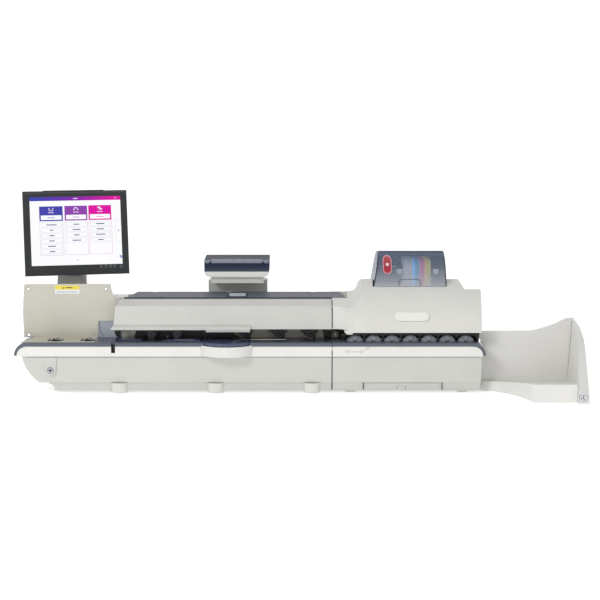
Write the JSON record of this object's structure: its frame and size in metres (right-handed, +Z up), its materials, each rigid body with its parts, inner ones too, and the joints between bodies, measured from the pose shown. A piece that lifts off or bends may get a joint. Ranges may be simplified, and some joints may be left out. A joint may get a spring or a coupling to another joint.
{
  "type": "franking machine",
  "caption": "Desktop franking machine: envelope feeder with lift-up cover, roller transport, printer with smoked ink cover, side stacker, tilting touch display and sealing-fluid tower.",
  "frame": {"origin": "middle of the footprint's bounding box, on the table the machine stands on", "axes": "+X is the way the mail travels, from the feeder to the stacker; +Y points from the operator to the rear; +Z is up"},
  "size_m": [1.828, 0.668, 0.6427],
  "materials": {
    "cream_plastic": "fine satin moulded plastic",
    "white_plastic": "satin moulded plastic",
    "slate_trim": "satin moulded plastic",
    "navy_gloss": "polished",
    "satin_steel": "warm satin sheet",
    "plated_steel": "zinc plated",
    "blue_grey_plastic": "satin",
    "wall_plastic": "satin",
    "black_plastic": "fine texture",
    "foot_plastic": "satin",
    "grey_rubber": "matt",
    "black_rubber": "matt",
    "smoked_lid": "smoked, satin",
    "smoked_cover": "smoked, frosted, see-through",
    "tower_smoke": "smoked, polished",
    "bottle_plastic": "natural, see-through",
    "ink_plastic": "coloured tanks",
    "screen_glass": "lit touch panel",
    "grey_button": "satin",
    "dark_metal": "painted sheet"
  },
  "bodies": {
    "base": {"feeder_chassis": "dark_metal", "feeder_front_casing": "cream_plastic", "feeder_deck": "slate_trim", "guide_panel": "satin_steel", "entry_wall": "blue_grey_plastic", "transport_wall": "wall_plastic", "feeder_rear_casing": "cream_plastic", "front_pod": "cream_plastic", "pod_cap": "navy_gloss", "feet": "foot_plastic", "screws": "plated_steel", "printer_chassis": "dark_metal", "printer_front_casing": "cream_plastic", "printer_deck": "slate_trim", "printer_hood": "cream_plastic", "printer_rear_casing": "cream_plastic", "registration_plate": "black_plastic", "print_head": "black_plastic", "ink_bay": "black_plastic", "ink_tanks": "ink_plastic", "tower_body": "cream_plastic", "fluid_bottle": "bottle_plastic", "stacker_tray": "cream_plastic", "stacker_pad": "white_plastic", "power_supply": "dark_metal", "feed_motor": "dark_metal", "power_inlet": "black_plastic", "display_post": "foot_plastic", "roller_arms": "black_plastic"},
    "swivel": {"swivel_bracket": "foot_plastic"},
    "display": {"display_back": "black_plastic", "display_bezel": "black_plastic", "display_screen": "screen_glass"},
    "menu_button_1": {"menu_button_1": "grey_button"},
    "menu_button_2": {"menu_button_2": "grey_button"},
    "menu_button_3": {"menu_button_3": "grey_button"},
    "menu_button_4": {"menu_button_4": "grey_button"},
    "power_button": {"power_button": "grey_button"},
    "feeder_cover": {"feeder_cover": "cream_plastic"},
    "top_lid": {"top_lid": "smoked_lid"},
    "ink_cover": {"ink_cover": "smoked_cover"},
    "tower_lid": {"tower_lid": "tower_smoke"},
    "base_tray": {"base_tray": "cream_plastic"},
    "cam_lock": {"cam_lock": "plated_steel"},
    "feed_roller_1": {"feed_roller_1": "black_rubber"},
    "feed_roller_2": {"feed_roller_2": "black_rubber"},
    "separator_roller": {"separator_roller": "black_rubber"},
    "retard_roller": {"retard_roller": "black_rubber"},
    "weigh_roller_1": {"weigh_roller_1": "black_rubber"},
    "weigh_roller_2": {"weigh_roller_2": "black_rubber"},
    "weigh_roller_3": {"weigh_roller_3": "black_rubber"},
    "transfer_roller": {"transfer_roller": "black_rubber"},
    "platen_roller_1": {"platen_roller_1": "grey_rubber"},
    "platen_roller_2": {"platen_roller_2": "grey_rubber"},
    "platen_roller_3": {"platen_roller_3": "grey_rubber"},
    "platen_roller_4": {"platen_roller_4": "grey_rubber"},
    "platen_roller_5": {"platen_roller_5": "grey_rubber"},
    "platen_roller_6": {"platen_roller_6": "grey_rubber"},
    "platen_roller_7": {"platen_roller_7": "grey_rubber"}
  },
  "joints": [
    {"name": "display_swivel", "type": "hinge", "parent": "base", "child": "swivel", "pos_m": [-0.753, 0.159, 0.343], "axis": [0, 0, 1], "range_deg": [-45, 30]},
    {"name": "display_tilt", "type": "hinge", "parent": "swivel", "child": "display", "pos_m": [-0.753, 0.159, 0.493], "axis": [-0.9613, -0.2756, 0], "range_deg": [-6, 20]},
    {"name": "menu_button_1_press", "type": "slide", "parent": "display", "child": "menu_button_1", "axis": [-0.2725, 0.9505, -0.1495], "range_m": [0, 0.0008], "stiffness_N_per_m": 250, "springref_m": -0.0006},
    {"name": "menu_button_2_press", "type": "slide", "parent": "display", "child": "menu_button_2", "axis": [-0.2725, 0.9505, -0.1495], "range_m": [0, 0.0008], "stiffness_N_per_m": 250, "springref_m": -0.0006},
    {"name": "menu_button_3_press", "type": "slide", "parent": "display", "child": "menu_button_3", "axis": [-0.2725, 0.9505, -0.1495], "range_m": [0, 0.0008], "stiffness_N_per_m": 250, "springref_m": -0.0006},
    {"name": "menu_button_4_press", "type": "slide", "parent": "display", "child": "menu_button_4", "axis": [-0.2725, 0.9505, -0.1495], "range_m": [0, 0.0008], "stiffness_N_per_m": 250, "springref_m": -0.0006},
    {"name": "power_button_press", "type": "slide", "parent": "display", "child": "power_button", "axis": [-0.2725, 0.9505, -0.1495], "range_m": [0, 0.0008], "stiffness_N_per_m": 250, "springref_m": -0.0006},
    {"name": "feeder_cover_hinge", "type": "hinge", "parent": "base", "child": "feeder_cover", "pos_m": [-0.247, -0.033, 0.284], "axis": [-1, 0, 0], "range_deg": [0, 58]},
    {"name": "top_lid_hinge", "type": "hinge", "parent": "base", "child": "top_lid", "pos_m": [-0.2, 0.091, 0.3023], "axis": [-1, 0, 0], "range_deg": [0, 80]},
    {"name": "ink_cover_hinge", "type": "hinge", "parent": "base", "child": "ink_cover", "pos_m": [0.3705, 0.209, 0.334], "axis": [-1, 0, 0], "range_deg": [0, 60]},
    {"name": "tower_lid_hinge", "type": "hinge", "parent": "base", "child": "tower_lid", "pos_m": [-0.203, 0.273, 0.375], "axis": [-1, 0, 0], "range_deg": [0, 80]},
    {"name": "base_tray_slide", "type": "slide", "parent": "base", "child": "base_tray", "axis": [0, -1, 0], "range_m": [0, 0.15]},
    {"name": "cam_lock_turn", "type": "hinge", "parent": "base", "child": "cam_lock", "pos_m": [-0.797, -0.131, 0.076], "axis": [0, 1, 0], "range_deg": [0, 90]},
    {"name": "feed_roller_1_spin", "type": "hinge", "parent": "base", "child": "feed_roller_1", "pos_m": [-0.786, -0.08, 0.1435], "axis": [0, 1, 0], "continuous": true},
    {"name": "feed_roller_2_spin", "type": "hinge", "parent": "base", "child": "feed_roller_2", "pos_m": [-0.679, -0.08, 0.1435], "axis": [0, 1, 0], "continuous": true},
    {"name": "separator_roller_spin", "type": "hinge", "parent": "base", "child": "separator_roller", "pos_m": [-0.478, -0.04, 0.1815], "axis": [0, 1, 0], "continuous": true},
    {"name": "retard_roller_spin", "type": "hinge", "parent": "base", "child": "retard_roller", "pos_m": [-0.394, -0.04, 0.1815], "axis": [0, 1, 0], "continuous": true},
    {"name": "weigh_roller_1_spin", "type": "hinge", "parent": "base", "child": "weigh_roller_1", "pos_m": [-0.169, -0.04, 0.1815], "axis": [0, 1, 0], "continuous": true},
    {"name": "weigh_roller_2_spin", "type": "hinge", "parent": "base", "child": "weigh_roller_2", "pos_m": [-0.058, -0.04, 0.1815], "axis": [0, 1, 0], "continuous": true},
    {"name": "weigh_roller_3_spin", "type": "hinge", "parent": "base", "child": "weigh_roller_3", "pos_m": [0.043, -0.04, 0.1815], "axis": [0, 1, 0], "continuous": true},
    {"name": "transfer_roller_spin", "type": "hinge", "parent": "base", "child": "transfer_roller", "pos_m": [0.1245, -0.04, 0.1815], "axis": [0, 1, 0], "continuous": true},
    {"name": "platen_roller_1_spin", "type": "hinge", "parent": "base", "child": "platen_roller_1", "pos_m": [0.187, -0.084, 0.158], "axis": [0, 1, 0], "continuous": true},
    {"name": "platen_roller_2_spin", "type": "hinge", "parent": "base", "child": "platen_roller_2", "pos_m": [0.2468, -0.084, 0.158], "axis": [0, 1, 0], "continuous": true},
    {"name": "platen_roller_3_spin", "type": "hinge", "parent": "base", "child": "platen_roller_3", "pos_m": [0.3066, -0.084, 0.158], "axis": [0, 1, 0], "continuous": true},
    {"name": "platen_roller_4_spin", "type": "hinge", "parent": "base", "child": "platen_roller_4", "pos_m": [0.3664, -0.084, 0.158], "axis": [0, 1, 0], "continuous": true},
    {"name": "platen_roller_5_spin", "type": "hinge", "parent": "base", "child": "platen_roller_5", "pos_m": [0.4262, -0.084, 0.158], "axis": [0, 1, 0], "continuous": true},
    {"name": "platen_roller_6_spin", "type": "hinge", "parent": "base", "child": "platen_roller_6", "pos_m": [0.486, -0.084, 0.158], "axis": [0, 1, 0], "continuous": true},
    {"name": "platen_roller_7_spin", "type": "hinge", "parent": "base", "child": "platen_roller_7", "pos_m": [0.5458, -0.084, 0.158], "axis": [0, 1, 0], "continuous": true}
  ],
  "couplings": [
    {"joint": "feed_roller_2_spin", "follows": "feed_roller_1_spin", "ratio": 1},
    {"joint": "weigh_roller_2_spin", "follows": "weigh_roller_1_spin", "ratio": 1},
    {"joint": "weigh_roller_3_spin", "follows": "weigh_roller_1_spin", "ratio": 1},
    {"joint": "platen_roller_2_spin", "follows": "platen_roller_1_spin", "ratio": 1},
    {"joint": "platen_roller_3_spin", "follows": "platen_roller_1_spin", "ratio": 1},
    {"joint": "platen_roller_4_spin", "follows": "platen_roller_1_spin", "ratio": 1},
    {"joint": "platen_roller_5_spin", "follows": "platen_roller_1_spin", "ratio": 1},
    {"joint": "platen_roller_6_spin", "follows": "platen_roller_1_spin", "ratio": 1},
    {"joint": "platen_roller_7_spin", "follows": "platen_roller_1_spin", "ratio": 1}
  ]
}
